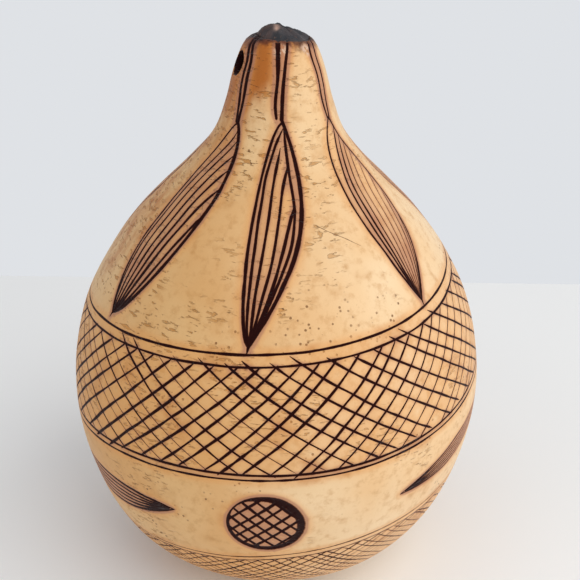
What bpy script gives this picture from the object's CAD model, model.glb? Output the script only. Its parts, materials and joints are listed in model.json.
"""Looks of the gourd guiro: a bottle gourd engraved with a hot point, its charred stem, its seeds.

Lengths are millimetres where a name doesn't say otherwise, and the scene is in metres, +Z up.
Azimuths go round the gourd from the front (-Y) towards the right (+X). "Down" is the distance
walked down the skin from the crown. The burned lines are cut into the skin's own mesh.
"""

import json
import math

import bmesh
import bpy
import numpy as np
from mathutils import Matrix, Vector
from mathutils.geometry import delaunay_2d_cdt
from mathutils.kdtree import KDTree

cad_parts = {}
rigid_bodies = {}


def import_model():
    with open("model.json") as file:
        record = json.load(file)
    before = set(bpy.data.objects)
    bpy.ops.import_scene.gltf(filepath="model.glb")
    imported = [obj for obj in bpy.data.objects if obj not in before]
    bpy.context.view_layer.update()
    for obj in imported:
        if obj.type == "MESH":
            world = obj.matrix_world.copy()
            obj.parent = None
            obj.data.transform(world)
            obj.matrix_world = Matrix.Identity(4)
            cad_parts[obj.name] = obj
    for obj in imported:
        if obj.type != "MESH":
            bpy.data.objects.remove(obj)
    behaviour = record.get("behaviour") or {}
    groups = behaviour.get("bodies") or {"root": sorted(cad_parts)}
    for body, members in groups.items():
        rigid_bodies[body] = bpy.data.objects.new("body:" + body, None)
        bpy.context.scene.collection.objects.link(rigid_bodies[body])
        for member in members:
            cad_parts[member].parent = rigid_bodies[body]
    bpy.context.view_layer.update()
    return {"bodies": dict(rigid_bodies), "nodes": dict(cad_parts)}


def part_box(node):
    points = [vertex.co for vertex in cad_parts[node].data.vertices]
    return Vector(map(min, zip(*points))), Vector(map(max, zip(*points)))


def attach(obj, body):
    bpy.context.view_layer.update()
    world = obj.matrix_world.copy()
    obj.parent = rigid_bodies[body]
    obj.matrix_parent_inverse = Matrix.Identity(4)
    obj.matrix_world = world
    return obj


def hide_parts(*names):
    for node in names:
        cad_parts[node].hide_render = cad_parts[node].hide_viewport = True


MM = 0.001
SEED = 71

# Half section of the gourd's outer face, with part.py's values, from the crown to the flat foot.
CROWN = [(0.0, 187.0), (4.8, 186.8), (8.4, 186.0), (11.2, 183.9)]
NECK = [(13.3, 179.4), (15.1, 173.7), (17.2, 165.6), (21.1, 155.6)]
SHOULDER = [(29.2, 145.6), (39.2, 135.5), (48.5, 125.5), (57.7, 112.4), (66.0, 95.4)]
BELLY = [(70.0, 75.3), (69.3, 55.2), (64.0, 35.1), (56.1, 20.1), (46.5, 10.6)]
FOOT = [(36.0, 4.0), (27.0, 0.9), (20.0, 0.0), (10.0, 0.0), (0.0, 0.0)]
OUTLINE = CROWN + NECK + SHOULDER + BELLY + FOOT
OUTLINE_PITCH = 0.5
RIND = 4.0

# The skin's plan runs between two plain rings; inside them lie the crown and the foot.
CROWN_HEIGHT = 184.7
FOOT_HEIGHT = 5.2
RING_POINTS = 96

# The drilled hole, and the scar that the stem stands in.
HOLE_RADIUS = 3.7
HOLE_HEIGHT = 178.5
HOLE_AZIMUTH = math.radians(-73.0)
HOLE_POINTS = 40
HOLE_BEVEL = 0.25
SCAR_RADIUS = 8.3
SCAR_CENTRE = 1.2
SCAR_FLOOR = 185.0
SCAR_BEVEL = 0.25

# How finely a burned line is laid out, and how far its warm halo reaches.
LINE_STEP = 1.8
FINE_STEP = 0.5
HALOS = (0.4, 0.95)
FILL_PITCH = 3.0
SEAM_MARGIN = 0.12

# The burn is 1 on a line's middle, 0 at its edge, and minus the distance outside, down to this.
UNBURNED = -3.0
NEAR_SAMPLES = 20
HALO_APART = 0.42
HALO_CLEAR = 0.24
FILL_CLEAR = 1.3
BELLY_RADIUS = 70.0
BAND_MIDDLE = 88.0


# ---------------------------------------------------------------- the turned skin

def curve_point(before, start, end, after, t):
    """A point of the Catmull-Rom curve from start to end, t of the way along."""
    return 0.5 * (2 * start + (end - before) * t
                  + (2 * before - 5 * start + 4 * end - after) * t ** 2
                  + (3 * start - before - 3 * end + after) * t ** 3)


def smooth_outline(points, pitch):
    """Catmull-Rom curve through the points, with a step no longer than pitch."""
    knots = [Vector(point) for point in points]
    padded = [2 * knots[0] - knots[1]] + knots + [2 * knots[-1] - knots[-2]]
    curve = [knots[0]]
    for before, start, end, after in zip(padded, padded[1:], padded[2:], padded[3:]):
        steps = max(1, math.ceil((end - start).length / pitch))
        curve.extend(curve_point(before, start, end, after, step / steps)
                     for step in range(1, steps + 1))
    return curve


def smoothstep(value):
    value = np.clip(value, 0.0, 1.0)
    return value * value * (3.0 - 2.0 * value)


class Skin:
    """The gourd's turned face, looked up by the distance down from the crown."""

    def __init__(self, points):
        self.radius, self.height = np.array(smooth_outline(points, OUTLINE_PITCH)).T
        steps = np.hypot(np.diff(self.radius), np.diff(self.height))
        self.down = np.concatenate(([0.0], np.cumsum(steps)))
        out = np.gradient(self.radius, self.down)
        up = np.gradient(self.height, self.down)
        length = np.hypot(out, up)
        self.normal_out = -up / length
        self.normal_up = out / length
        middle = np.maximum(0.5 * (self.radius[1:] + self.radius[:-1]), 1.0)
        self.depth = np.concatenate(([0.0], np.cumsum(steps / middle)))

    def radius_at(self, down):
        return np.interp(down, self.down, self.radius)

    def down_at(self, height):
        return np.interp(-np.asarray(height, float), -self.height, self.down)

    def depth_at(self, down):
        """The plan's second coordinate, which keeps small shapes true on the skin."""
        return np.interp(down, self.down, self.depth)

    def down_of(self, depth):
        return np.interp(depth, self.depth, self.down)

    def place(self, azimuth, down, lift=0.0):
        """Points in millimetres, raised off the face by lift."""
        radius = self.radius_at(down) + lift * np.interp(down, self.down, self.normal_out)
        height = (np.interp(down, self.down, self.height)
                  + lift * np.interp(down, self.down, self.normal_up))
        return np.stack((radius * np.sin(azimuth), -radius * np.cos(azimuth), height), axis=-1)


def lumps(skin, azimuth, down):
    """The slow unevenness of a grown gourd, and the crown's fuller front."""
    total = 0.0
    for turns, pitch, phase, size in ((1, 0.031, 0.3, 0.18), (2, 0.047, 1.9, 0.24),
                                      (3, 0.071, 4.1, 0.16), (5, 0.123, 2.2, 0.10),
                                      (8, 0.210, 5.0, 0.06), (11, 0.330, 0.8, 0.04)):
        total = total + size * np.cos(turns * azimuth + phase) * np.cos(pitch * down + 2.0 * phase)
    top = skin.down_at(CROWN_HEIGHT)
    bottom = skin.down_at(FOOT_HEIGHT)
    full = 0.8 * (0.5 + 0.5 * np.cos(azimuth)) * np.exp(-((down - 9.0) / 2.6) ** 2)
    return total * smoothstep((down - top) / 30.0) * smoothstep((bottom - down) / 30.0) + full


# ---------------------------------------------------------------- burned lines

class Line:
    """One burned line: its path, half width and depth, point by point, its heat and its tone."""

    def __init__(self, azimuth, down, half, depth, heat, tone):
        self.azimuth = azimuth
        self.down = down
        self.half = half
        self.depth = depth
        self.heat = heat
        self.tone = tone

    def piece(self, keep, shift):
        return Line(self.azimuth[keep] + shift, self.down[keep], self.half[keep],
                    self.depth[keep], self.heat, self.tone)

    def finer(self, factor):
        """The same line with more points, for measuring distances to it."""
        count = len(self.azimuth)
        where = np.linspace(0, count - 1, (count - 1) * factor + 1)
        grid = np.arange(count)
        return [np.interp(where, grid, values)
                for values in (self.azimuth, self.down, self.half, self.depth)]


def unsteady(rng, along, knot, closed):
    """A smooth random value from -1 to 1 along a line, with a turn about every knot."""
    count = max(2, int(math.ceil(along[-1] / knot)) + 1)
    values = rng.uniform(-1.0, 1.0, count + 1)
    if closed:
        values[count] = values[0]
    where = along / along[-1] * count
    low = np.minimum(where.astype(int), count - 1)
    return values[low] + (values[low + 1] - values[low]) * smoothstep(where - low)


def draw(skin, rng, azimuth, down, width, wander=0.10, patchy=0.16, fade=(0.0, 0.0), heat=1.0,
         cut=0.62, tone=1.0, closed=False):
    """A hand-drawn line through the points: it wanders, swells and thins, and may fade out.

    Width is one number or one for each point. Fade is how many millimetres each end takes to
    reach its full width. Cut is the groove's depth as a part of the half width. Tone is how
    black the line is burned, from 0 to 1.
    """
    azimuth = np.asarray(azimuth, float)
    down = np.asarray(down, float)
    width = np.broadcast_to(np.asarray(width, float), azimuth.shape)
    radius = skin.radius_at(0.5 * (down[1:] + down[:-1]))
    walked = np.concatenate(([0.0], np.cumsum(np.hypot(radius * np.diff(azimuth),
                                                       np.diff(down)))))
    steps = max(2, int(math.ceil(walked[-1] / LINE_STEP)))
    along = np.linspace(0.0, walked[-1], steps + 1)
    azimuth, down, width = (np.interp(along, walked, values)
                            for values in (azimuth, down, width))
    radius = skin.radius_at(down)
    across = np.gradient(azimuth, along) * radius
    below = np.gradient(down, along)
    length = np.maximum(np.hypot(across, below), 1e-6)
    aside = wander * unsteady(rng, along, 9.0, closed)
    azimuth = azimuth - below / length * aside / radius
    down = down + across / length * aside
    half = 0.5 * width * (1.0 + patchy * unsteady(rng, along, 4.0, closed))
    if fade[0] > 0.0:
        half = half * (0.3 + 0.7 * smoothstep(along / fade[0]))
    if fade[1] > 0.0:
        half = half * (0.3 + 0.7 * smoothstep((along[-1] - along) / fade[1]))
    return Line(azimuth, down, half, np.minimum(cut * half, 0.42), heat, tone)


def through(points, steps):
    """A smooth run through a few points of two values, as two arrays."""
    knots = np.array(points, float)
    padded = np.vstack((2 * knots[0] - knots[1], knots, 2 * knots[-1] - knots[-2]))
    rows = [knots[:1]]
    for index in range(len(knots) - 1):
        before, start, end, after = padded[index:index + 4]
        t = (np.arange(1, steps + 1) / steps)[:, None]
        rows.append(curve_point(before, start, end, after, t))
    return np.vstack(rows).T


# ---------------------------------------------------------------- the drawing on the gourd

def ring_height(azimuth, middle, rise, back, twist):
    """A hand-drawn ring's height: it climbs to the right and sways a little."""
    return (middle + rise * np.sin(azimuth) + back * (np.cos(azimuth) - 0.8)
            + twist * np.sin(2.0 * azimuth))


def upper_outer(azimuth):
    return ring_height(azimuth, 107.1, 7.6, -0.4, -2.1)


def upper_inner(azimuth):
    return ring_height(azimuth, 103.9, 7.5, -0.6, -2.2)


def lower_inner(azimuth):
    return ring_height(azimuth, 71.1, 9.8, -1.4, -3.3)


def lower_outer(azimuth):
    return lower_inner(azimuth) - (3.0 - 1.3 * np.cos(azimuth) - 0.4 * np.sin(azimuth))


def base_ring(azimuth):
    return ring_height(azimuth, 36.1, 10.5, -1.2, -1.2)


def base_second(azimuth):
    return base_ring(azimuth) - 1.5 - 0.9 * np.sin(azimuth + 0.5)


def foot_ring(azimuth):
    return ring_height(azimuth, 15.5, 4.5, 0.0, 0.0)


def full_turn():
    return np.linspace(-math.pi, math.pi, 361)


def rings(skin, rng):
    """The plain rings, from the top down; those that edge the band are broadest in front."""
    turn = full_turn()
    front = 0.5 + 0.5 * np.cos(turn)
    kinds = [(upper_outer, 0.72 + 0.30 * front, 0.2, 0.65, 1.0),
             (upper_inner, 0.70 + 0.20 * front, 0.25, 0.65, 1.0),
             (lower_inner, 0.74 + 0.30 * front, 0.2, 0.65, 1.0),
             (lower_outer, 0.66 + 0.28 * front, 0.25, 0.65, 1.0),
             (base_ring, 0.62, 0.3, 0.6, 0.55),
             (base_second, 0.6, 0.3, 0.6, 0.55),
             (foot_ring, 0.6, 0.3, 0.6, 0.55)]
    return [draw(skin, rng, turn, skin.down_at(height(turn)), width, patchy=patchy, heat=heat,
                 tone=tone, closed=True)
            for height, width, patchy, heat, tone in kinds]


def slanted(middle, reach, centre, slope, top, bottom):
    """The part of a straight slanted line that lies between two rings."""
    down = np.arange(middle - reach, middle + reach, 0.4)
    azimuth = centre + slope * (middle - down) / BELLY_RADIUS
    inside = (down > top(azimuth)) & (down < bottom(azimuth))
    return azimuth[inside], down[inside]


def hatch_rising(skin, rng):
    """The lines that climb to the right, pressed hardest where they start low on the left."""
    lines = []
    count = 65
    middle = float(skin.down_at(BAND_MIDDLE))
    for index in range(count):
        centre = -math.pi + 2.0 * math.pi * (index + 0.20 * rng.uniform(-1, 1)) / count
        slope = 1.0 / math.tan(math.radians(43.5 + rng.uniform(-1.2, 1.2)))
        over = rng.uniform(0.3, 2.4) if rng.random() < 0.6 else 0.2
        rise = rng.uniform(-0.2, 0.8)
        azimuth, down = slanted(
            middle, 42.0, centre, slope,
            lambda angle: skin.down_at(upper_inner(angle)) - rise,
            lambda angle: skin.down_at(lower_inner(angle)) + over)
        side = smoothstep((math.degrees(centre) - 8.0) / 45.0)
        bold = 0.92 - 0.38 * side if abs(centre) < 1.7 else 0.75
        width = bold * rng.uniform(0.85, 1.15) * np.linspace(0.95, 1.2, len(down))
        lines.append(draw(skin, rng, azimuth, down, width, wander=0.16, patchy=0.28,
                          fade=(1.0, 2.5), heat=0.6, tone=1.0 - 0.45 * side))
    return lines


def hatch_falling(skin, rng):
    """The flatter lines that fall to the right, with hairlines among them on the left."""
    lines = []
    count = 48
    middle = float(skin.down_at(BAND_MIDDLE))
    for index in range(count):
        centre = -math.pi + 2.0 * math.pi * (index + 0.15 * rng.uniform(-1, 1)) / count
        slope = -1.0 / math.tan(math.radians(33.0 + rng.uniform(-1.0, 1.0)))
        over = rng.uniform(1.0, 3.2) if rng.random() < 0.75 else 0.0
        under = rng.uniform(-0.6, 0.8)
        azimuth, down = slanted(
            middle, 40.0, centre, slope,
            lambda angle: skin.down_at(upper_inner(angle)) - over,
            lambda angle: skin.down_at(lower_inner(angle)) + under)
        degrees = math.degrees(centre)
        bold = 0.68 + 0.12 * smoothstep((degrees + 25.0) / 50.0)
        tone = 1.0
        if degrees < 5.0 and rng.random() < 0.28:
            bold = 0.42
            tone = 0.45
        width = bold * rng.uniform(0.9, 1.12) * np.linspace(1.15, 0.9, len(down))
        lines.append(draw(skin, rng, azimuth, down, width, wander=0.14, patchy=0.26,
                          fade=(3.0, 1.5), heat=0.6, tone=tone))
    return lines


def base_hatch(skin, rng):
    """The fine crossed lines between the base ring and the foot ring."""
    lines = []
    count = 88
    middle = float(skin.down_at(27.0))
    for sign in (1.0, -1.0):
        for index in range(count):
            centre = -math.pi + 2.0 * math.pi * (index + 0.2 * rng.uniform(-1, 1)) / count
            slope = sign / math.tan(math.radians(34.0 + rng.uniform(-2.5, 2.5)))
            azimuth, down = slanted(
                middle, 30.0, centre, slope,
                lambda angle: skin.down_at(base_second(angle)) - 0.3,
                lambda angle: skin.down_at(foot_ring(angle)) + 0.3)
            width = rng.uniform(0.55, 0.8)
            tone = rng.uniform(0.38, 0.70) * (1.0 - 0.4 * smoothstep((centre - 0.1) / 0.7))
            lines.append(draw(skin, rng, azimuth, down, width, wander=0.2, patchy=0.3,
                              fade=(1.5, 2.0), heat=0.45, tone=tone))
    return lines


def leaf_point(skin, leaf, t, aside):
    """A point of an upper leaf, t of the way from its top tip and aside to the right."""
    top = float(skin.down_at(leaf["top"][1]))
    tip = float(skin.down_at(leaf["tip"][1]))
    down = top + (tip - top) * t
    turn = math.radians(leaf["top"][0]) \
        + math.radians(leaf["tip"][0] - leaf["top"][0]) * t
    return turn + aside / skin.radius_at(down), down


def leaf_sides(leaf, t):
    """How far a leaf's left and right sides stand from its axis; they meet before the tip."""
    part = np.minimum(t / 0.97, 1.0)
    sides = []
    for way, (reach, round_off, lean) in ((-1.0, leaf["left"]), (1.0, leaf["right"])):
        sides.append(way * reach * np.abs(np.sin(math.pi * part ** lean)) ** round_off)
    return sides


def leaf_outline(skin, rng, leaf):
    t = np.linspace(0.0, 1.0, 80)
    left, right = leaf_sides(leaf, t)
    press = leaf["press"]
    azimuth, down = leaf_point(skin, leaf, t, left)
    lines = [draw(skin, rng, azimuth, down, press[0] * (0.75 + 0.45 * t), heat=leaf["heat"],
                  fade=(0.0, 3.0), tone=leaf["tone"])]
    azimuth, down = leaf_point(skin, leaf, t, right)
    swell = 1.0 + 0.2 * np.sin(math.pi * t)
    lines.append(draw(skin, rng, azimuth, down, press[1] * swell, heat=1.1 * leaf["heat"],
                      fade=(0.0, 3.0), tone=leaf["tone"]))
    return lines


def leaf_veins(skin, rng, leaf):
    """Veins that leave the right side one after another and run down to the lower tip."""
    lines = []
    for start, place, press, tone in leaf["veins"]:
        t = np.linspace(start, 0.97, 60)
        left, right = leaf_sides(leaf, t)
        leaving = np.exp((start - t) / 0.10)
        across = place + (1.0 - place) * leaving
        aside = 0.5 * (left + right) + 0.5 * (right - left) * across
        azimuth, down = leaf_point(skin, leaf, t, aside)
        width = press * (0.72 + 0.30 * t)
        lines.append(draw(skin, rng, azimuth, down, width, heat=leaf["heat"], fade=(4.0, 1.0),
                          tone=tone))
    return lines


def front_leaf_veins(skin, rng, leaf):
    """The front leaf's veins, which branch off a line drawn just inside its right side."""
    runs = [
        ([(0.03, 0.2), (0.10, -1.9), (0.19, -3.5), (0.28, -4.5), (0.45, -4.9), (0.62, -4.4),
          (0.79, -3.2), (0.90, -1.8), (0.97, -0.4)], 1.1),
        ([(0.11, -0.4), (0.26, -1.7), (0.42, -2.0), (0.62, -1.9), (0.80, -1.4), (0.96, -0.1)],
         1.1),
        ([(0.18, 2.2), (0.31, 1.2), (0.45, 1.2), (0.62, 1.3), (0.80, 0.6), (0.96, 0.1)], 1.15),
        ([(0.37, 5.3), (0.47, 4.5), (0.59, 3.8), (0.70, 3.3), (0.85, 1.8), (0.96, 0.3)], 1.2),
        ([(0.03, 0.3), (0.19, 2.4), (0.34, 4.9), (0.42, 6.0), (0.54, 6.3), (0.65, 5.3),
          (0.80, 3.1), (0.95, 0.6)], 1.15),
    ]
    lines = []
    for run, press in runs:
        t, aside = through(run, 10)
        azimuth, down = leaf_point(skin, leaf, t, aside)
        lines.append(draw(skin, rng, azimuth, down, press, heat=0.8, fade=(4.0, 0.0)))
    return lines


def neck_pair(skin, rng, leaf):
    """The two lines that come down the neck, side by side, to a leaf's top tip."""
    lines = []
    for points, press in zip(leaf["pair"], leaf["pair_press"]):
        turn, height = through(points, 16)
        width = np.linspace(press[0], press[1], len(turn))
        lines.append(draw(skin, rng, np.radians(turn), skin.down_at(height), width, heat=1.15,
                          patchy=0.14, wander=0.08, tone=leaf["tone"]))
    return lines


def plain_pair(top):
    """Two lines that close in on a leaf's top tip from the crown."""
    return [[(top[0] + way * 5.0, 186.3), (top[0] + way * 4.0, 176.0),
             (top[0] + way * 3.2, top[1] + 4.0), (top[0] + way * 0.8, top[1] - 0.5)]
            for way in (-1.0, 1.0)]


def make_leaf(top, tip, left, right, press, pair, pair_press, veins, tone=1.0, heat=0.8):
    """A leaf by its two tips, the reach, roundness and lean of its sides, and its neck lines.

    Pair_press is how wide each neck line is at its top and at its foot.
    """
    return {"top": top, "tip": tip, "left": left, "right": right, "press": press,
            "pair": pair or plain_pair(top), "pair_press": pair_press, "veins": veins,
            "tone": tone, "heat": heat}


def upper_leaves():
    """Seven leaves hang from the neck; three face the front."""
    plain = [(0.03, -0.80, 0.85, 0.9), (0.08, -0.54, 0.9, 1.0), (0.13, -0.27, 0.9, 1.0),
             (0.20, 0.03, 0.95, 1.0), (0.29, 0.34, 1.0, 1.0), (0.42, 0.68, 1.0, 1.0)]
    thin = [(0.04, -0.76, 1.0, 1.0), (0.09, -0.58, 1.0, 1.0), (0.13, -0.37, 0.75, 0.55),
            (0.18, -0.12, 0.66, 0.34), (0.25, 0.14, 0.64, 0.30), (0.33, 0.42, 0.64, 0.32),
            (0.42, 0.68, 0.66, 0.40), (0.56, 0.85, 0.62, 0.36)]
    dark = [(0.02, -0.85, 0.95, 0.9), (0.07, -0.56, 1.05, 1.0), (0.13, -0.24, 1.15, 1.0),
            (0.20, 0.06, 1.25, 1.0), (0.29, 0.34, 1.45, 1.0), (0.42, 0.70, 1.35, 1.0)]
    even = ((1.15, 1.0), (1.15, 1.0))
    front_pair = [[(-2.8, 186.3), (-1.7, 182.0), (-1.7, 176.5), (-3.6, 169.0), (-2.0, 164.8)],
                  [(15.5, 186.3), (10.8, 183.2), (7.6, 179.0), (4.6, 172.6), (3.4, 164.5)]]
    left_pair = [[(-60.0, 186.3), (-50.4, 181.0), (-50.2, 176.0), (-48.4, 169.5), (-45.5, 162.3)],
                 [(-52.0, 186.3), (-42.8, 181.5), (-42.6, 175.8), (-42.3, 170.0),
                  (-43.2, 162.5)]]
    right_pair = [[(60.0, 186.3), (52.0, 182.5), (55.2, 175.8), (55.4, 170.0), (58.5, 163.2)],
                  [(74.0, 186.3), (64.0, 182.0), (64.2, 177.0), (63.6, 171.0), (61.5, 163.2)]]
    return [
        make_leaf((4.2, 164.0), (-7.6, 107.0), (6.8, 0.62, 1.0), (8.3, 0.95, 1.0), (1.25, 1.35),
                  front_pair, ((1.8, 1.0), (0.95, 1.45)), None),
        make_leaf((-42.6, 162.2), (-58.2, 104.3), (9.6, 0.68, 1.0), (8.6, 0.56, 1.4),
                  (1.0, 1.35), left_pair, ((1.5, 1.25), (1.5, 1.35)), dark, heat=0.85),
        make_leaf((60.0, 163.0), (52.2, 111.4), (8.8, 0.82, 1.0), (10.2, 0.95, 1.0),
                  (0.95, 0.75), right_pair, ((1.0, 0.95), (1.0, 0.95)), thin, tone=0.8),
        make_leaf((111.0, 164.0), (101.0, 113.8), (8.4, 0.8, 1.0), (9.0, 0.7, 1.2), (0.9, 0.95),
                  None, even, plain),
        make_leaf((163.0, 163.0), (150.0, 109.5), (8.8, 0.7, 1.0), (8.8, 0.6, 1.3), (0.9, 1.05),
                  None, even, dark),
        make_leaf((-146.0, 162.0), (-160.0, 105.5), (8.4, 0.75, 1.0), (9.2, 0.7, 1.2),
                  (0.9, 1.1), None, even, plain),
        make_leaf((-99.0, 161.0), (-108.0, 101.9), (8.6, 0.7, 1.0), (8.6, 0.65, 1.3),
                  (0.9, 1.05), None, even, plain),
    ]


def circle_point(skin, centre, across, above):
    down = float(skin.down_at(centre[1])) - above
    return math.radians(centre[0]) + across / skin.radius_at(down), down


def circle_motif(skin, rng, centre, radius):
    """A disc of crossed lines in a rim that is pressed hardest at its upper right."""
    angle = np.radians(np.linspace(-180.0, 180.0, 121))
    marks = np.radians([-180.0, -135.0, -90.0, -45.0, 0.0, 35.0, 70.0, 100.0, 122.0, 145.0, 180.0])
    widths = [1.3, 2.0, 2.5, 2.7, 3.0, 3.3, 3.1, 2.4, 1.1, 0.6, 1.3]
    width = np.interp(angle, marks, widths)
    reach = radius - 0.5 * width
    azimuth, down = circle_point(skin, centre, reach * np.cos(angle), reach * np.sin(angle))
    lines = [draw(skin, rng, azimuth, down, width, wander=0.08, patchy=0.08, heat=1.0, cut=0.3,
                  closed=True)]
    for tilt in (math.radians(42.0), math.radians(-44.0)):
        for offset in (-9.0, -5.4, -1.8, 1.8, 5.4, 9.0):
            offset = offset + rng.uniform(-0.35, 0.35)
            reach = math.sqrt((radius - 0.9) ** 2 - offset ** 2)
            run = np.linspace(-reach, reach, 24)
            across = run * math.cos(tilt) - offset * math.sin(tilt)
            above = run * math.sin(tilt) + offset * math.cos(tilt)
            azimuth, down = circle_point(skin, centre, across, above)
            lines.append(draw(skin, rng, azimuth, down, rng.uniform(1.05, 1.35), heat=0.9,
                              patchy=0.2))
    return lines


def side_leaf(skin, rng, tip, end, above, below, press, tone):
    """A leaf that lies along the belly, darkest at its pointed tip."""
    lines = []
    start = float(skin.down_at(tip[1]))
    drop = float(skin.down_at(end[1])) - start
    for place in (1.0, 0.6, 0.2, -0.2, -0.6, -1.0):
        t = np.linspace(0.0 if abs(place) == 1.0 else 0.03, 1.0 if abs(place) == 1.0 else 0.96, 60)
        bulge = np.sin(math.pi * t) ** 0.95
        side = 0.5 * (above - below) + 0.5 * (above + below) * place
        turn = np.radians(tip[0] + (end[0] - tip[0]) * t)
        down = start + drop * t - side * bulge
        width = press * (1.2 - 0.5 * t) * (1.0 if abs(place) == 1.0 else 0.8)
        lines.append(draw(skin, rng, turn, down, width, wander=0.15, heat=0.9, fade=(4.0, 6.0),
                          tone=tone))
    return lines


def scratch(skin, rng):
    """A hairline scratch on the right of the front leaf."""
    turn, height = through([(17.5, 138.0), (28.3, 134.2), (36.5, 131.0)], 12)
    return draw(skin, rng, np.radians(turn), skin.down_at(height), 0.32, wander=0.15, cut=0.8,
                fade=(5.0, 5.0), heat=0.0, tone=0.25)


def drawing(skin):
    rng = np.random.default_rng(SEED)
    lines = rings(skin, rng)
    lines += hatch_rising(skin, rng)
    lines += hatch_falling(skin, rng)
    lines += base_hatch(skin, rng)
    for leaf in upper_leaves():
        lines += leaf_outline(skin, rng, leaf)
        lines += leaf_veins(skin, rng, leaf) if leaf["veins"] else \
            front_leaf_veins(skin, rng, leaf)
        lines += neck_pair(skin, rng, leaf)
    for centre in ((-1.7, 51.0), (118.0, 63.0), (-122.0, 41.5)):
        lines += circle_motif(skin, rng, centre, 12.5)
    lines += side_leaf(skin, rng, (-26.7, 51.5), (-79.0, 46.0), 2.2, 8.0, 1.2, 0.9)
    lines += side_leaf(skin, rng, (35.4, 54.9), (87.0, 69.0), 3.0, 4.2, 0.95, 0.6)
    lines += side_leaf(skin, rng, (153.0, 57.0), (205.0, 46.0), 4.0, 6.0, 1.0, 0.8)
    lines.append(scratch(skin, rng))
    return lines


# ---------------------------------------------------------------- measuring the burn

class Burn:
    """How burned a point of the skin is, measured to every line."""

    def __init__(self, skin, lines):
        parts = []
        factor = max(1, round(LINE_STEP / FINE_STEP))
        for line in lines:
            azimuth, down, half, depth = line.finer(factor)
            here = skin.place(azimuth, down)
            there = np.vstack((here[1:], here[-1:]))
            parts.append(np.column_stack((here, there, half, np.append(half[1:], half[-1]), depth,
                                          np.full(len(half), line.heat),
                                          np.full(len(half), line.tone))))
        self.rows = np.vstack(parts)
        self.tree = KDTree(len(self.rows))
        for index, row in enumerate(self.rows):
            self.tree.insert(row[:3], index)
        self.tree.balance()

    def measure(self, points, near):
        """Burn (1 on a line's middle, 0 at its edge, then minus the distance), depth and heat."""
        found = np.array([[item[1] for item in self.tree.find_n(point, near)]
                          for point in points])
        rows = self.rows[found]
        start = rows[..., 0:3]
        run = rows[..., 3:6] - start
        toward = points[:, None, :] - start
        t = (toward * run).sum(-1) / np.maximum((run * run).sum(-1), 1e-9)
        t = np.clip(t, 0.0, 1.0)
        apart = np.linalg.norm(toward - run * t[..., None], axis=-1)
        half = rows[..., 6] + (rows[..., 7] - rows[..., 6]) * t
        burn = np.where(apart < half, 1.0 - apart / half, half - apart)
        depth = (rows[..., 8] * np.clip(burn, 0.0, 1.0)).max(1)
        burn = np.where(burn > 0.0, burn * rows[..., 10], burn)
        warm = (rows[..., 9] * np.exp(-np.maximum(apart - half, 0.0) / 1.5)).sum(1)
        return burn.max(1), depth, warm * FINE_STEP


# ---------------------------------------------------------------- cutting the plan

class Plan:
    """Points and edges laid out flat, to be joined into triangles."""

    def __init__(self):
        self.points = []
        self.edges = []

    def run(self, points, closed=False):
        """Points joined in a row by edges that the triangles must keep."""
        first = len(self.points)
        self.loose(points)
        last = len(self.points) - 1
        self.edges.extend((index, index + 1) for index in range(first, last))
        if closed:
            self.edges.append((last, first))

    def loose(self, points):
        """Points that no edge has to pass through."""
        self.points.extend((float(x), float(y)) for x, y in points)

    def triangles(self):
        made = delaunay_2d_cdt([Vector(point) for point in self.points], self.edges, [], 0,
                               1e-6, False)
        points = np.array([tuple(point) for point in made[0]])
        faces = np.array([tuple(face) for face in made[2] if len(face) == 3])
        return points, faces


def line_rows(skin, line):
    """The two edges of a line's groove, with a cap past each end, in azimuth and down."""
    radius = skin.radius_at(line.down)
    across = np.gradient(line.azimuth) * radius
    below = np.gradient(line.down)
    length = np.maximum(np.hypot(across, below), 1e-9)
    across, below = across / length, below / length
    rows = []
    for side in (1.0, -1.0):
        rows.append((line.azimuth - side * below * line.half / radius,
                     line.down + side * across * line.half))
    halos = []
    for away in HALOS:
        for side in (1.0, -1.0):
            reach = side * (line.half + away)
            halos.append((line.azimuth - below * reach / radius, line.down + across * reach))
    caps = []
    for end, way in ((0, -1.0), (-1, 1.0)):
        caps.append((line.azimuth[end] + way * across[end] * line.half[end] / radius[end],
                     line.down[end] + way * below[end] * line.half[end]))
    return rows, halos, caps


def is_loop(line):
    ends = abs(abs(line.azimuth[0] - line.azimuth[-1]) - 2.0 * math.pi) < 1e-6
    same = abs(line.azimuth[0] - line.azimuth[-1]) < 1e-6
    return (ends or same) and abs(line.down[0] - line.down[-1]) < 1e-6


def wrapped(line):
    """The line's pieces near and inside the plan, with copies across its seam."""
    pieces = []
    limit = math.pi + SEAM_MARGIN
    for shift in (-2.0 * math.pi, 0.0, 2.0 * math.pi):
        near = np.abs(line.azimuth + shift) < limit
        runs = np.flatnonzero(np.diff(np.concatenate(([0], near.astype(int), [0]))))
        for start, stop in zip(runs[::2], runs[1::2]):
            if stop - start > 1:
                pieces.append(line.piece(slice(start, stop), shift))
    return pieces


def filler(skin, top, bottom, pitch):
    """Evenly spread points between two rings, closer together where the skin is narrow."""
    rows = []
    down = top
    odd = 0
    while True:
        radius = float(skin.radius_at(down))
        step = min(pitch, 0.5 + 0.10 * radius)
        down += 0.866 * step
        if down > bottom - 0.6 * step:
            break
        count = max(24, int(round(2.0 * math.pi * radius / step)))
        turn = -math.pi + 2.0 * math.pi * (np.arange(count) + 0.5 * odd + 0.25) / count
        rows.append(np.column_stack((turn, np.full(count, down))))
        odd = 1 - odd
    return np.vstack(rows)


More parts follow.
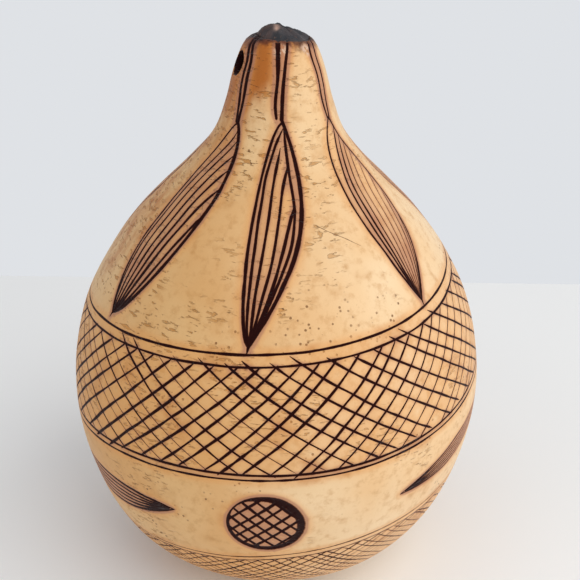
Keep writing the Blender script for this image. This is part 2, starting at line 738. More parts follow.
def hole_loop(skin, radius, lift):
    """Azimuth and down of a loop of the drilled hole, at some depth in the rind."""
    angle = 2.0 * math.pi * np.arange(HOLE_POINTS) / HOLE_POINTS
    height = HOLE_HEIGHT + radius * np.sin(angle)
    down = skin.down_at(height)
    for _ in range(4):
        rise = lift * np.interp(down, skin.down, skin.normal_up)
        down = skin.down_at(height - rise)
    out = skin.radius_at(down) + lift * np.interp(down, skin.down, skin.normal_out)
    return HOLE_AZIMUTH + np.arcsin(radius * np.cos(angle) / out), down


def inside_loop(points, loop):
    """Which points lie inside a closed loop."""
    x, y = points.T
    inside = np.zeros(len(points), bool)
    for (x0, y0), (x1, y1) in zip(loop, np.roll(loop, -1, axis=0)):
        crosses = (y0 > y) != (y1 > y)
        where = x0 + (y - y0) * (x1 - x0) / (y1 - y0 + 1e-30)
        inside ^= crosses & (x < where)
    return inside


def scar_edge(skin):
    """Azimuth and down of the edge of the stem's scar, once round the crown."""
    turn = np.linspace(-math.pi, math.pi, RING_POINTS + 1)
    reach = SCAR_RADIUS + SCAR_BEVEL
    radius = SCAR_CENTRE * np.sin(turn) + np.sqrt(reach ** 2 - (SCAR_CENTRE * np.cos(turn)) ** 2)
    return turn, np.interp(radius, skin.radius[:60], skin.down[:60])


def ring_edge(skin, height):
    turn = np.linspace(-math.pi, math.pi, RING_POINTS + 1)
    return turn, np.full(len(turn), float(skin.down_at(height)))


def frame_plan(skin, plan, top, bottom, side_pitch):
    """The plan's two edge rings and its two seam edges."""
    for turn, down in (top, bottom):
        plan.run(zip(turn, skin.depth_at(down)))
    start, stop = top[1][0], bottom[1][0]
    count = int(math.ceil((stop - start) / side_pitch))
    depths = skin.depth_at(np.linspace(start, stop, count + 1))
    for angle in (-math.pi, math.pi):
        plan.run([(angle, depth) for depth in depths])


def keep_inside(skin, points, faces, top, bottom, loop):
    """Drops the triangles outside the plan or inside the hole."""
    middle = points[faces].mean(axis=1)
    low, high = (np.interp(middle[:, 0], turn, skin.depth_at(down)) for turn, down in (top, bottom))
    keep = (np.abs(middle[:, 0]) < math.pi) & (middle[:, 1] > low) & (middle[:, 1] < high)
    keep &= ~inside_loop(middle, loop)
    corners = points[faces]
    first = corners[:, 1] - corners[:, 0]
    second = corners[:, 2] - corners[:, 0]
    keep &= np.abs(first[:, 0] * second[:, 1] - first[:, 1] * second[:, 0]) > 1e-12
    return faces[keep]


def thinned(skin, spots, apart):
    """Which spots to keep so that no two share one small square of the skin."""
    radius = skin.radius_at(spots[:, 1])
    cells = np.column_stack((np.floor(spots[:, 0] * radius / apart),
                             np.floor(spots[:, 1] / apart))).astype(int)
    return np.unique(cells, axis=0, return_index=True)[1]


def outer_plan(skin, lines, burn):
    top = scar_edge(skin)
    bottom = ring_edge(skin, FOOT_HEIGHT)
    plan = Plan()
    frame_plan(skin, plan, top, bottom, 2.4)
    loop = np.column_stack(hole_loop(skin, HOLE_RADIUS + HOLE_BEVEL, 0.0))
    loop[:, 1] = skin.depth_at(loop[:, 1])
    plan.run(loop, closed=True)
    halos = []
    for line in lines:
        for part in wrapped(line):
            rows, sides, caps = line_rows(skin, part)
            plan.run(zip(part.azimuth, skin.depth_at(part.down)))
            if is_loop(line):
                for azimuth, down in rows:
                    plan.run(zip(azimuth, skin.depth_at(down)))
            else:
                (left_turn, left_down), (right_turn, right_down) = rows
                turn = np.concatenate((caps[0][:1], left_turn, caps[1][:1], right_turn[::-1]))
                down = np.concatenate((caps[0][1:], left_down, caps[1][1:], right_down[::-1]))
                plan.run(zip(turn, skin.depth_at(down)), closed=True)
            halos.extend(np.column_stack(side) for side in sides)
    halos = np.vstack(halos)
    halos = halos[thinned(skin, halos, HALO_APART)]
    fill = filler(skin, top[1].min(), bottom[1].max(), FILL_PITCH)
    for spots, clear in ((halos, HALO_CLEAR), (fill, FILL_CLEAR)):
        inside = (np.abs(spots[:, 0]) < math.pi - 0.004) \
            & (spots[:, 1] > np.interp(spots[:, 0], *top) + 0.35) \
            & (spots[:, 1] < bottom[1].min() - 0.8)
        spots = spots[inside]
        measured = burn.measure(skin.place(spots[:, 0], spots[:, 1]), 6)[0]
        spots = spots[measured < -clear]
        plan.loose(zip(spots[:, 0], skin.depth_at(spots[:, 1])))
    points, faces = plan.triangles()
    return points, keep_inside(skin, points, faces, top, bottom, loop)


def inner_plan(skin):
    top = ring_edge(skin, CROWN_HEIGHT)
    bottom = ring_edge(skin, FOOT_HEIGHT)
    plan = Plan()
    frame_plan(skin, plan, top, bottom, 6.0)
    loop = np.column_stack(hole_loop(skin, HOLE_RADIUS, -RIND))
    loop[:, 1] = skin.depth_at(loop[:, 1])
    plan.run(loop, closed=True)
    fill = filler(skin, top[1][0], bottom[1][0], 7.0)
    fill = fill[np.abs(fill[:, 0]) < math.pi - 0.02]
    plan.loose(zip(fill[:, 0], skin.depth_at(fill[:, 1])))
    points, faces = plan.triangles()
    return points, keep_inside(skin, points, faces, top, bottom, loop)


# ---------------------------------------------------------------- building the shell's mesh

class Build:
    """Blocks of vertices and faces, with named values painted on the vertices."""

    def __init__(self, *names):
        self.points = []
        self.faces = []
        self.values = {name: [] for name in names}

    def add(self, block, *values):
        """Adds points and faces, with a number, or one for each point, for every name."""
        points, faces = block
        points = np.asarray(points, float)
        first = sum(len(earlier) for earlier in self.points)
        self.points.append(points)
        self.faces.append(np.asarray(faces) + first)
        for kept, value in zip(self.values.values(), values):
            kept.append(np.broadcast_to(np.asarray(value, float), len(points)))

    def mesh(self, name):
        mesh = bpy.data.meshes.new(name)
        points = np.vstack(self.points) * MM
        mesh.from_pydata(points.tolist(), [], [face for block in self.faces
                                               for face in block.tolist()])
        for value in self.values:
            layer = mesh.attributes.new(value, "FLOAT", "POINT")
            layer.data.foreach_set("value", np.concatenate(self.values[value]))
        return mesh


def strip(rows):
    """Triangles between closed rows of equally many points."""
    count = len(rows[0])
    faces = []
    for row in range(len(rows) - 1):
        for index in range(count):
            after = (index + 1) % count
            a, b = row * count + index, row * count + after
            faces.append((a, b, b + count))
            faces.append((a, b + count, a + count))
    return np.vstack(rows), faces


def disc(row, centre):
    """A fan from a closed row to a centre point."""
    count = len(row)
    faces = [(index, (index + 1) % count, count) for index in range(count)]
    return np.vstack((row, centre)), faces


def ring_angles():
    return np.linspace(-math.pi, math.pi, RING_POINTS + 1)[:-1]


def compact(points, faces):
    """The points that the faces use, and the faces numbered to match."""
    used = np.unique(faces)
    index = np.zeros(len(points), int)
    index[used] = np.arange(len(used))
    return points[used], index[faces]


def add_outer(build, skin, lines, burn):
    """The outer face with its grooves; returns its edge round the scar."""
    points, faces = compact(*outer_plan(skin, lines, burn))
    azimuth, down = points[:, 0], skin.down_of(points[:, 1])
    level, depth, heat = burn.measure(skin.place(azimuth, down), NEAR_SAMPLES)
    placed = skin.place(azimuth, down, lumps(skin, azimuth, down) - depth)
    build.add((placed, faces), np.maximum(level, UNBURNED), heat, 0.0)
    edge = np.interp(azimuth, *scar_edge(skin))
    rim = np.flatnonzero((np.abs(down - edge) < 0.01) & (azimuth < math.pi - 1e-6))
    return placed[rim[np.argsort(azimuth[rim])]]


def add_scar(build, rim):
    """The wall and the floor of the stem's scar, below the crown's edge."""
    away = rim[:, :2] - (SCAR_CENTRE, 0.0)
    away /= np.linalg.norm(away, axis=1)[:, None]
    rows = [rim]
    for height in (rim[:, 2] - 0.2, SCAR_FLOOR):
        rows.append(np.column_stack((SCAR_CENTRE + SCAR_RADIUS * away[:, 0],
                                     SCAR_RADIUS * away[:, 1],
                                     np.broadcast_to(height, len(rim)))))
    build.add(strip(rows), UNBURNED, 0.0, 0.0)
    build.add(disc(rows[-1], (SCAR_CENTRE, 0.0, SCAR_FLOOR)), UNBURNED, 0.0, 0.0)


def add_foot(build, skin):
    """The lowest part of the outer face, which carries no drawing, down to the flat foot."""
    turn = ring_angles()
    start = float(skin.down_at(FOOT_HEIGHT))
    rows = [skin.place(turn, np.full(len(turn), down))
            for down in np.linspace(start, skin.down[-1] - 4.0, 9)]
    for row in rows:
        row[:, 2] = np.maximum(row[:, 2], 0.0)
    build.add(strip(rows), UNBURNED, 0.0, 0.0)
    build.add(disc(rows[-1], (0.0, 0.0, 0.0)), UNBURNED, 0.0, 0.0)


def add_hollow(build, skin):
    """The pale pithy inner face and its two ends."""
    points, faces = compact(*inner_plan(skin))
    azimuth, down = points[:, 0], skin.down_of(points[:, 1])
    build.add((skin.place(azimuth, down, -RIND), faces), UNBURNED, 0.0, 1.0)
    turn = ring_angles()
    for height, dome in ((CROWN_HEIGHT, 0.4), (FOOT_HEIGHT, -1.0)):
        row = skin.place(turn, np.full(len(turn), float(skin.down_at(height))), -RIND)
        build.add(disc(row, (0.0, 0.0, float(row[0, 2]) + dome)), UNBURNED, 0.0, 1.0)


def add_hole_wall(build, skin):
    """The drilled hole's wall: burnt outside, pale pith where it nears the hollow."""
    rows = []
    for radius, lift in ((HOLE_RADIUS + HOLE_BEVEL, 0.0), (HOLE_RADIUS, -HOLE_BEVEL),
                         (HOLE_RADIUS, -0.5 * RIND), (HOLE_RADIUS, -RIND)):
        azimuth, down = hole_loop(skin, radius, lift)
        rise = lumps(skin, azimuth, down) if lift == 0.0 else 0.0
        rows.append(skin.place(azimuth, down, lift + rise))
    inside = np.repeat([0.0, 0.5, 1.0, 1.0], HOLE_POINTS)
    build.add(strip(rows), np.repeat([0.2, 1.0, 1.0, 0.2], HOLE_POINTS), 1.0, inside)


def weld(mesh, reach):
    """Joins the blocks where they meet and turns every face outwards."""
    shape = bmesh.new()
    shape.from_mesh(mesh)
    bmesh.ops.remove_doubles(shape, verts=shape.verts, dist=reach)
    bmesh.ops.recalc_face_normals(shape, faces=shape.faces)
    shape.to_mesh(mesh)
    shape.free()
    mesh.shade_smooth()


def add_object(name, data):
    """A new object in the scene."""
    item = bpy.data.objects.new(name, data)
    bpy.context.scene.collection.objects.link(item)
    return item


def build_shell(material):
    skin = Skin(OUTLINE)
    lines = drawing(skin)
    build = Build("burn", "warmth", "inside")
    rim = add_outer(build, skin, lines, Burn(skin, lines))
    add_scar(build, rim)
    add_foot(build, skin)
    add_hollow(build, skin)
    add_hole_wall(build, skin)
    mesh = build.mesh("engraved_rind")
    weld(mesh, 0.02 * MM)
    mesh.materials.append(material)
    item = add_object("engraved_rind", mesh)
    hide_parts("gourd_shell")
    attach(item, "gourd")


# ---------------------------------------------------------------- node helpers

def node(tree, kind, inputs=None, **settings):
    """A shader node with its settings and inputs; an input is a value or another's output."""
    item = tree.nodes.new(kind)
    for name, value in settings.items():
        setattr(item, name, value)
    for name, value in (inputs or {}).items():
        if isinstance(value, bpy.types.NodeSocket):
            tree.links.new(value, item.inputs[name])
        else:
            item.inputs[name].default_value = value
    return item


def coordinates(tree, scale=(1.0, 1.0, 1.0), turn=(0.0, 0.0, 0.0)):
    place = node(tree, "ShaderNodeTexCoord").outputs["Object"]
    return node(tree, "ShaderNodeMapping", {"Vector": place, "Scale": scale,
                                            "Rotation": turn}).outputs["Vector"]


def noise(tree, vector, scale, detail=3.0, roughness=0.55, distortion=0.0):
    return node(tree, "ShaderNodeTexNoise",
                {"Vector": vector, "Scale": scale, "Detail": detail, "Roughness": roughness,
                 "Distortion": distortion}).outputs["Fac"]


def ramp(tree, value, low, high, to_low=0.0, to_high=1.0):
    """Maps low..high smoothly to to_low..to_high, and holds past the ends."""
    return node(tree, "ShaderNodeMapRange",
                {"Value": value, "From Min": low, "From Max": high, "To Min": to_low,
                 "To Max": to_high}, interpolation_type="SMOOTHSTEP").outputs["Result"]


def calc(tree, operation, first, second=0.0):
    item = node(tree, "ShaderNodeMath", operation=operation)
    for socket, value in zip(item.inputs, (first, second)):
        if isinstance(value, bpy.types.NodeSocket):
            tree.links.new(value, socket)
        else:
            socket.default_value = value
    return item.outputs["Value"]


def plus(tree, first, second):
    return calc(tree, "ADD", first, second)


def minus(tree, first, second):
    return calc(tree, "SUBTRACT", first, second)


def times(tree, first, second):
    return calc(tree, "MULTIPLY", first, second)


def swing(tree, value, size):
    """A value from 0 to 1 made to swing either way about 0, by size in all."""
    return times(tree, minus(tree, value, 0.5), size)


def mix(tree, factor, first, second):
    item = node(tree, "ShaderNodeMix", data_type="RGBA")
    named = {"Factor_Float": factor, "A_Color": first, "B_Color": second}
    for socket in item.inputs:
        if socket.identifier in named:
            value = named[socket.identifier]
            if isinstance(value, bpy.types.NodeSocket):
                tree.links.new(value, socket)
            else:
                socket.default_value = value
    return next(out for out in item.outputs if out.identifier == "Result_Color")


def position(tree):
    """A point's place on the object in metres, as outputs named X, Y and Z."""
    return node(tree, "ShaderNodeSeparateXYZ", {"Vector": coordinates(tree)}).outputs


def painted(tree, name):
    return node(tree, "ShaderNodeAttribute", attribute_name=name).outputs["Fac"]


def new_material(name):
    material = bpy.data.materials.new(name)
    material.use_nodes = True
    tree = material.node_tree
    return material, tree, tree.nodes["Principled BSDF"]


def bumps(tree, shader, layers):
    """Stacks bump nodes, each a height with its strength and its distance in metres."""
    normal = None
    for height, strength, distance in layers:
        item = node(tree, "ShaderNodeBump", {"Height": height, "Strength": strength,
                                             "Distance": distance})
        if normal is not None:
            tree.links.new(normal, item.inputs["Normal"])
        normal = item.outputs["Normal"]
    tree.links.new(normal, shader.inputs["Normal"])


# ---------------------------------------------------------------- materials

PALE_LEFT = (0.68, 0.37, 0.14, 1.0)
PALE_RIGHT = (0.84, 0.56, 0.30, 1.0)
CREAM_LEFT = (0.74, 0.465, 0.21, 1.0)
CREAM_RIGHT = (0.88, 0.65, 0.40, 1.0)
STRAW = (0.80, 0.57, 0.31, 1.0)
TAN = (0.50, 0.235, 0.07, 1.0)
DUST = (0.20, 0.075, 0.022, 1.0)
ORANGE = (0.42, 0.125, 0.020, 1.0)
GLOW = (0.72, 0.31, 0.085, 1.0)
ROSE = (0.43, 0.195, 0.120, 1.0)
MAROON = (0.085, 0.022, 0.014, 1.0)
SCORCHED = (0.15, 0.035, 0.010, 1.0)
CHAR = (0.014, 0.001, 0.001, 1.0)
RUBBED = (0.66, 0.45, 0.32, 1.0)
PITH = (0.52, 0.36, 0.20, 1.0)
COAL = (0.010, 0.011, 0.016, 1.0)
COAL_SHEEN = (0.042, 0.032, 0.034, 1.0)
COAL_RIDGE = (0.20, 0.115, 0.08, 1.0)
COAL_BROWN = (0.095, 0.040, 0.026, 1.0)
BARE_WOOD = (0.50, 0.31, 0.235, 1.0)
SEED_BUFF = (0.40, 0.24, 0.11, 1.0)
SEED_PALE = (0.60, 0.42, 0.23, 1.0)
SEED_EDGE = (0.22, 0.115, 0.045, 1.0)
TABLE_GREY = (0.90, 0.90, 0.89, 1.0)
TABLE_WHITE = (0.93, 0.93, 0.92, 1.0)
SKY = (0.74, 0.76, 0.79, 1.0)
SHINE_TINT = (1.0, 0.55, 0.45, 1.0)

# Places on the gourd, in metres.
PIT_PATCH = (0.012, -0.056, 0.113)
RUBBED_FRONT = (0.0004, -0.0110, 0.1838)
RUBBED_RIGHT = (0.0080, -0.0080, 0.1838)
CHAR_MIDDLE = 0.0011


def across_gourd(tree):
    """0 on the gourd's left, which has darkened with handling, and 1 on its right."""
    wobble = swing(tree, noise(tree, coordinates(tree), 28.0, 2.0), 0.05)
    return ramp(tree, plus(tree, position(tree)["X"], wobble), -0.035, 0.045)


def rind_color(tree, side):
    """The dried rind: cream patches, a warm tan mottle and fine grain."""
    place = coordinates(tree)
    broad = noise(tree, place, 22.0, 3.0)
    fine = noise(tree, place, 300.0, 5.0, 0.65)
    pale = mix(tree, side, PALE_LEFT, PALE_RIGHT)
    cream = mix(tree, side, CREAM_LEFT, CREAM_RIGHT)
    color = mix(tree, ramp(tree, broad, 0.36, 0.66), pale, cream)
    color = mix(tree, ramp(tree, fine, 0.46, 0.72, 0.0, 0.40), color, TAN)
    cloud = noise(tree, place, 75.0, 3.0)
    color = mix(tree, ramp(tree, cloud, 0.58, 0.74, 0.0, 0.30), color, TAN)
    spot = position(tree)
    straw = times(tree, ramp(tree, spot["X"], -0.064, -0.036, 0.65, 0.0),
                 ramp(tree, spot["Z"], 0.085, 0.115))
    return mix(tree, straw, color, STRAW)


def ripples(tree, side):
    """Short wrinkles that lie across the gourd, in patches, most of them on its left."""
    level = coordinates(tree, (0.26, 0.26, 1.0), (0.0, math.radians(7.0), 0.0))
    dash = ramp(tree, noise(tree, level, 980.0, 2.0, 0.6, 0.3), 0.58, 0.66)
    spot = position(tree)
    calm = plus(tree, times(tree, side, 0.16),
                ramp(tree, spot["Z"], 0.058, 0.075, 0.12, 0.0))
    calm = plus(tree, calm, ramp(tree, spot["X"], -0.058, -0.036, 0.13, 0.0))
    patch = minus(tree, noise(tree, coordinates(tree), 34.0, 2.0), calm)
    return times(tree, dash, ramp(tree, patch, 0.36, 0.50))


def near_spot(tree, spot, reach):
    """1 at a spot on the gourd, falling to 0 at the reach, both in metres."""
    item = node(tree, "ShaderNodeVectorMath", operation="DISTANCE")
    tree.links.new(coordinates(tree), item.inputs[0])
    item.inputs[1].default_value = spot
    return ramp(tree, item.outputs["Value"], 0.3 * reach, reach, 1.0, 0.0)


def pits(tree):
    """Small dark pits in a few patches, the plainest right of the front leaf's tip."""
    cells = node(tree, "ShaderNodeTexVoronoi", {"Vector": coordinates(tree), "Scale": 520.0})
    dot = ramp(tree, cells.outputs["Distance"], 0.12, 0.26, 1.0, 0.0)
    patch = ramp(tree, noise(tree, coordinates(tree), 60.0, 2.0), 0.58, 0.66)
    spot = near_spot(tree, PIT_PATCH, 0.021)
    chosen = ramp(tree, noise(tree, coordinates(tree), 330.0, 1.0), 0.38, 0.52)
    where = calc(tree, "MAXIMUM", patch, times(tree, spot, chosen))
    return times(tree, dot, where)


def crown_scorch(tree):
    """A height that stands for the stem's heat: it reaches farthest down the neck's left."""
    place = position(tree)
    side = minus(tree, times(tree, place["X"], -1.1), times(tree, place["Y"], 0.25))
    streak = noise(tree, coordinates(tree, (1.0, 1.0, 0.35)), 170.0, 4.0)
    return plus(tree, plus(tree, place["Z"], side), swing(tree, streak, 0.026))


def neck_panel(tree):
    """1 on the strip of the neck's front left, between the neck lines, that scorched orange."""
    spot = position(tree)
    streak = noise(tree, coordinates(tree, (1.0, 1.0, 0.4)), 190.0, 4.0)
    height = plus(tree, spot["Z"], swing(tree, streak, 0.020))
    panel = times(tree, ramp(tree, spot["X"], -0.0022, -0.0004, 1.0, 0.0),
                  ramp(tree, spot["Y"], -0.009, -0.006, 1.0, 0.0))
    return times(tree, panel, ramp(tree, height, 0.166, 0.177))


def rubbed_spots(tree):
    """The two places below the stem where the char has flaked off the skin."""
    streak = ramp(tree, noise(tree, coordinates(tree, (1.0, 1.0, 0.3)), 900.0, 3.0), 0.44, 0.56)
    where = calc(tree, "MAXIMUM", near_spot(tree, RUBBED_FRONT, 0.0030),
                 near_spot(tree, RUBBED_RIGHT, 0.0026))
    return times(tree, where, streak)


def char_reach(tree):
    """Distance from the gourd's axis in metres, less the char's extra spread on the left."""
    place = position(tree)
    across = minus(tree, place["X"], CHAR_MIDDLE)
    squares = plus(tree, times(tree, across, across), times(tree, place["Y"], place["Y"]))
    reach = calc(tree, "POWER", squares, 0.5)
    ragged = noise(tree, coordinates(tree, (1.0, 1.0, 0.5)), 430.0, 4.0, 0.65)
    spread = ramp(tree, across, -0.010, -0.002, 0.0018, 0.0)
    low = ramp(tree, place["Z"], 0.178, 0.181, 0.02, 0.0)
    return plus(tree, minus(tree, plus(tree, reach, swing(tree, ragged, 0.0045)), spread), low)


def worn_color(tree, side, ripple, pit):
    """The rind's own color, stained in its wrinkles and dusty in its pits."""
    stain = times(tree, ripple, ramp(tree, side, 0.3, 0.8, 0.9, 0.55))
    color = mix(tree, stain, rind_color(tree, side), TAN)
    return mix(tree, times(tree, pit, 0.8), color, DUST)


def scorched_color(tree, color, burn, heat):
    """Browned by heat: below the stem, on the neck's strip, and beside the burned lines."""
    level = crown_scorch(tree)
    color = mix(tree, ramp(tree, level, 0.173, 0.188, 0.0, 0.92), color, ORANGE)
    color = mix(tree, times(tree, neck_panel(tree), 0.72), color, ORANGE)
    color = mix(tree, ramp(tree, level, 0.190, 0.206, 0.0, 0.6), color, SCORCHED)
    near = times(tree, ramp(tree, burn, UNBURNED, -0.1), ramp(tree, heat, 0.15, 1.6))
    color = mix(tree, times(tree, near, 0.45), color, GLOW)
    blotch = ramp(tree, noise(tree, coordinates(tree), 62.0, 3.0), 0.54, 0.68, 0.0, 0.35)
    color = mix(tree, times(tree, near, blotch), color, ORANGE)
    return mix(tree, ramp(tree, heat, 2.7, 4.6, 0.0, 0.75), color, ROSE)


def charred_color(tree, color, edge, dark):
    """Black on the lines and round the stem, and pale pith inside."""
    color = mix(tree, ramp(tree, edge, 0.0, 0.20, 0.0, 0.85), color, SCORCHED)
    mottle = ramp(tree, noise(tree, coordinates(tree), 320.0, 4.0), 0.4, 0.7, 0.1, 0.8)
    color = mix(tree, painted(tree, "inside"), color, mix(tree, mottle, PITH, DUST))
    reach = char_reach(tree)
    color = mix(tree, ramp(tree, reach, 0.0092, 0.0112, 0.85, 0.0), color, MAROON)
    color = mix(tree, rubbed_spots(tree), color, RUBBED)
    crust = ramp(tree, reach, 0.0082, 0.0094, 1.0, 0.0)
    return mix(tree, calc(tree, "MAXIMUM", dark, crust), color, CHAR)


def rind_material():
    material, tree, shader = new_material("engraved_rind")
    burn = painted(tree, "burn")
    side = across_gourd(tree)
    grain = noise(tree, coordinates(tree), 900.0, 3.0, 0.6)
    edge = plus(tree, burn, swing(tree, grain, 0.25))
    dark = ramp(tree, edge, 0.10, 0.36)
    ripple = ripples(tree, side)
    pit = pits(tree)
    color = worn_color(tree, side, ripple, pit)
    color = scorched_color(tree, color, burn, painted(tree, "warmth"))
    color = charred_color(tree, color, edge, dark)
    tree.links.new(color, shader.inputs["Base Color"])
    rough = plus(tree, ramp(tree, dark, 0.0, 1.0, 0.52, 0.66), swing(tree, grain, 0.22))
    tree.links.new(rough, shader.inputs["Roughness"])
    shader.inputs["Specular IOR Level"].default_value = 0.10
    shader.inputs["Specular Tint"].default_value = SHINE_TINT
    shader.inputs["Sheen Weight"].default_value = 0.12
    shader.inputs["Sheen Roughness"].default_value = 0.45
    pores = noise(tree, coordinates(tree), 1500.0, 2.0)
    bumps(tree, shader, [(pores, 0.25, 0.0003), (times(tree, ripple, -1.0), 0.8, 0.0006),
                         (times(tree, pit, -1.0), 0.7, 0.0004)])
    return material


def stem_material():
    """Charred wood: near black with a cool sheen, brown along its ridges."""
    material, tree, shader = new_material("charred_wood")
    broad = noise(tree, coordinates(tree), 240.0, 3.0)
    fibre = noise(tree, coordinates(tree, (1.0, 1.0, 0.35)), 700.0, 4.0, 0.65)
    color = mix(tree, ramp(tree, broad, 0.4, 0.62), COAL, COAL_SHEEN)
    color = mix(tree, ramp(tree, fibre, 0.58, 0.74, 0.0, 0.75), color, COAL_RIDGE)
    streak = times(tree, ramp(tree, position(tree)["X"], -0.0065, 0.0, 0.85, 0.0),
                   ramp(tree, broad, 0.38, 0.58, 0.35, 1.0))
    color = mix(tree, streak, color, COAL_BROWN)
    color = mix(tree, painted(tree, "worn"), color, BARE_WOOD)
    tree.links.new(color, shader.inputs["Base Color"])
    tree.links.new(ramp(tree, fibre, 0.3, 0.7, 0.42, 0.72), shader.inputs["Roughness"])
    bumps(tree, shader, [(fibre, 0.5, 0.0006), (broad, 0.4, 0.001)])
    return material


def seed_material():
    """A dry seed coat: mottled buff, darker along its rim."""
    material, tree, shader = new_material("dry_seed_coat")
    mottle = noise(tree, coordinates(tree), 420.0, 4.0)
    color = mix(tree, ramp(tree, mottle, 0.38, 0.66), SEED_BUFF, SEED_PALE)
    color = mix(tree, painted(tree, "rim"), color, SEED_EDGE)
    tree.links.new(color, shader.inputs["Base Color"])
    tree.links.new(ramp(tree, mottle, 0.3, 0.7, 0.45, 0.68), shader.inputs["Roughness"])
    bumps(tree, shader, [(mottle, 0.3, 0.0002)])
    return material


# ---------------------------------------------------------------- stem

STEM_TURNS = 96
STEM_RINGS = 26


# The stump's ridge from its left edge to its right, as shares of its radius, and how far that
# stands above or below the top of the CAD stub.
STEM_RIDGE = [(-1.0, -2.4), (-0.8, -0.8), (-0.6, 0.1), (-0.45, 0.45), (-0.2, 0.4), (-0.04, -0.2),
              (0.23, -0.9), (0.5, -1.7), (0.73, -2.8), (1.0, -4.4)]
STEM_RIM = -3.5


def stem_height(top, across, along):
    """The stump's face: highest left of its middle, falling away to the front and the back."""
    where, drop = through(STEM_RIDGE, 8)
    ridge = np.interp(across, where, drop)
    rim = STEM_RIM + (ridge - STEM_RIM) * np.abs(across) ** 6
    chord = np.sqrt(np.maximum(1.0 - across ** 2, 1e-4))
    share = np.clip(np.abs(along) / chord, 0.0, 1.0)
    return top + rim + (ridge - rim) * (1.0 - share ** 2.2)


def stem_face(centre, radius, top, turn, rough):
    """Closed rows from the stump's middle to its rim, and how worn each point is."""
    rows = []
    worn = []
    edge = radius * (1.0 + 0.035 * np.sin(3.0 * turn + 1.0) + 0.03 * np.sin(7.0 * turn)
                     + 0.012 * rough[0])
    for ring in range(1, STEM_RINGS):
        share = ring / (STEM_RINGS - 1)
        reach = edge * share
        across, along = share * np.sin(turn), -share * np.cos(turn)
        height = stem_height(top, across, along)
        swell = share * (1.15 - share)
        height = height + swell * (0.55 * np.sin(5.0 * turn + 4.0 * share + 0.6)
                                   + 0.50 * np.sin(11.0 * turn - 2.0)) + 0.10 * rough[ring]
        notch = np.exp(-((across + 0.28) / 0.11) ** 2 - ((along + 0.26) / 0.20) ** 2)
        rows.append(np.column_stack((centre.x + reach * np.sin(turn),
                                     centre.y - reach * np.cos(turn), height - 0.5 * notch)))
        worn.append(0.95 * notch)
    return rows, worn


def stem_side(centre, radius, base, turn, rim):
    """Closed rows down the stump's side, from its rim to its foot in the scar."""
    rows = []
    for part, draw_in in ((0.3, 0.05), (0.6, -0.1), (0.85, -0.3)):
        row = rim.copy()
        row[:, 2] = rim[:, 2] + (base - rim[:, 2]) * part
        row[:, :2] += (row[:, :2] - np.array(centre)) / radius * draw_in
        rows.append(row)
    rows.append(np.column_stack((centre.x + (radius - 0.6) * np.sin(turn),
                                 centre.y - (radius - 0.6) * np.cos(turn),
                                 np.full(STEM_TURNS, base))))
    return rows


def build_stem(material):
    """The broken stem, charred black, standing in its scar."""
    rng = np.random.default_rng(SEED + 1)
    low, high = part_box("stem_stub")
    centre = Vector(((low.x + high.x) / 2.0, (low.y + high.y) / 2.0)) / MM
    radius = (high.x - low.x) / 2.0 / MM
    base = low.z / MM
    turn = 2.0 * math.pi * np.arange(STEM_TURNS) / STEM_TURNS - math.pi
    rough = rng.uniform(-1.0, 1.0, (STEM_RINGS, STEM_TURNS))
    rows, worn = stem_face(centre, radius, high.z / MM, turn, rough)
    side = stem_side(centre, radius, base, turn, rows[-1])
    build = Build("worn")
    build.add(strip(rows + side), np.concatenate(worn + [np.zeros(STEM_TURNS)] * len(side)))
    for row, level in ((rows[0], float(rows[0][:, 2].mean())), (side[-1], base)):
        build.add(disc(row, (centre.x, centre.y, level)), 0.0)
    mesh = build.mesh("charred_stump")
    weld(mesh, 0.005 * MM)
    mesh.materials.append(material)
    item = add_object("charred_stump", mesh)
    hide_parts("stem_stub")
    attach(item, "gourd")


# ---------------------------------------------------------------- seeds

SEED_TURNS = 40
SEED_RINGS = 10
SEED_SQUARENESS = 0.62


def seed_frame(node_object):
    """A CAD seed's centre, its three axes from the longest, and its half sizes."""
    points = np.array([tuple(vertex.co) for vertex in node_object.data.vertices])
    centre = points.mean(axis=0)
    axes = np.linalg.svd(points - centre, full_matrices=False)[2]
    if np.linalg.det(axes) < 0.0:
        axes[2] = -axes[2]
    along = (points - centre) @ axes.T
    low, high = along.min(axis=0), along.max(axis=0)
    return centre + 0.5 * (low + high) @ axes, axes, 0.5 * (high - low)


def seed_rows(rng):
    """A seed's closed rows in shares of its half sizes, and how near each is to its rim."""
    turn = 2.0 * math.pi * np.arange(SEED_TURNS) / SEED_TURNS
    x_full = np.sign(np.cos(turn)) * np.abs(np.cos(turn)) ** SEED_SQUARENESS
    y_full = np.sign(np.sin(turn)) * np.abs(np.sin(turn)) ** SEED_SQUARENESS
    rows = []
    rims = []
    shares = np.linspace(0.0, 1.0, SEED_RINGS)[1:]
    for side, run in ((1.0, shares), (-1.0, shares[-2::-1])):
        for share in run:
            x = x_full * share
            y = y_full * share * (0.86 - 0.20 * x)
            x = np.clip(x + 0.06 * np.cos(2.0 * turn) * share ** 3, -1.0, 1.0)
            belly = (1.0 - share ** 3) * 0.72 + 0.26 * math.exp(-((share - 0.8) / 0.12) ** 2)
            z = side * min(belly, 0.96) * (0.0 if share == 1.0 else 1.0)
            z = z + 0.015 * rng.uniform(-1.0, 1.0, SEED_TURNS)
            rows.append(np.column_stack((x, y, np.clip(z, -0.98, 0.98))))
            rims.append(np.full(SEED_TURNS, smoothstep((share - 0.72) / 0.2)))
    return rows, rims


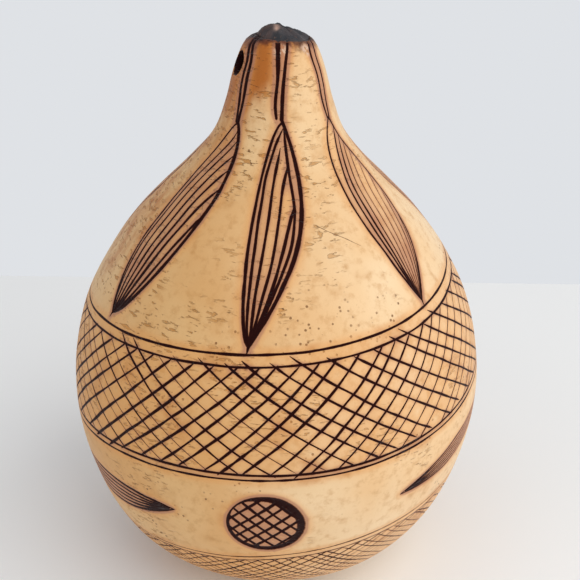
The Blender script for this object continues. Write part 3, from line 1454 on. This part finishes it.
def build_seed(name, node_object, body, material, rng):
    """A bottle gourd's seed: flat, oblong, with a raised rim and two horns at the broad end."""
    centre, axes, half = seed_frame(node_object)
    rows, rims = seed_rows(rng)
    build = Build("rim")
    build.add(strip(rows), np.concatenate(rims))
    for row, level in ((rows[0], 0.7), (rows[-1], -0.7)):
        build.add(disc(row, (0.0, 0.0, level)), 0.0)
    build.points = [(block * half @ axes + centre) / MM for block in build.points]
    mesh = build.mesh(name)
    weld(mesh, 0.005 * MM)
    mesh.materials.append(material)
    item = add_object(name, mesh)
    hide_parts(node_object.name)
    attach(item, body)


def build_seeds(frame, material):
    rng = np.random.default_rng(SEED + 2)
    for body in sorted(name for name in frame["bodies"] if name.startswith("seed_")):
        build_seed("gourd_" + body, frame["nodes"][body], body, material, rng)


# ---------------------------------------------------------------- stage, light, camera

TABLE_REACH = 4.0
TABLE_BACK = 0.215
SKY_SHARE = 0.80
MIDDLE = (0.0, 0.0, 0.09)


def build_floor():
    """A plain pale table top that ends behind the gourd, as in front of a pale wall."""
    mesh = bpy.data.meshes.new("table_top")
    mesh.from_pydata([(-TABLE_REACH, -TABLE_REACH, 0.0), (TABLE_REACH, -TABLE_REACH, 0.0),
                      (TABLE_REACH, TABLE_BACK, 0.0), (-TABLE_REACH, TABLE_BACK, 0.0)], [],
                     [(0, 1, 2, 3)])
    item = add_object("table_top", mesh)
    material, tree, shader = new_material("table_top")
    shade = noise(tree, coordinates(tree), 3.0, 2.0)
    color = mix(tree, ramp(tree, shade, 0.3, 0.7), TABLE_GREY, TABLE_WHITE)
    tree.links.new(color, shader.inputs["Base Color"])
    shader.inputs["Roughness"].default_value = 0.6
    mesh.materials.append(material)


def area_light(name, place, size, power, color):
    """A square light that faces the gourd's middle."""
    data = bpy.data.lights.new(name, "AREA")
    data.shape = "SQUARE"
    data.size = size
    data.energy = power
    data.color = color
    item = add_object(name, data)
    item.location = place
    item.rotation_euler = (Vector(MIDDLE) - Vector(place)).to_track_quat("-Z", "Y").to_euler()


def build_light():
    area_light("key_light", (0.75, -0.50, 0.85), 1.5, 10.2, (1.0, 0.98, 0.95))
    area_light("fill_light", (-0.9, -0.8, 0.6), 0.9, 1.25, (0.95, 0.97, 1.0))
    world = bpy.data.worlds.new("studio")
    world.use_nodes = True
    tree = world.node_tree
    background = tree.nodes["Background"]
    background.inputs["Color"].default_value = SKY
    seen = node(tree, "ShaderNodeLightPath").outputs["Is Camera Ray"]
    strength = plus(tree, times(tree, seen, 1.0 - SKY_SHARE), SKY_SHARE)
    tree.links.new(strength, background.inputs["Strength"])
    bpy.context.scene.world = world


def build_camera():
    """The photograph's viewing angle: from in front, 26 degrees above the level."""
    data = bpy.data.cameras.new("camera")
    data.sensor_width = 36.0
    data.lens = 68.28
    item = add_object("camera", data)
    place = Vector((0.00432, -0.34119, 0.26468))
    aim = Vector((0.00432, 0.0, 0.09850))
    look = (aim - place).to_track_quat("-Z", "Y")
    item.rotation_mode = "QUATERNION"
    item.rotation_quaternion = look @ Matrix.Rotation(math.radians(0.87), 3, "Z").to_quaternion()
    item.location = place
    bpy.context.scene.camera = item
    bpy.context.scene.view_settings.view_transform = "Standard"


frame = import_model()
build_camera()
build_floor()
build_light()
build_shell(rind_material())
build_stem(stem_material())
build_seeds(frame, seed_material())
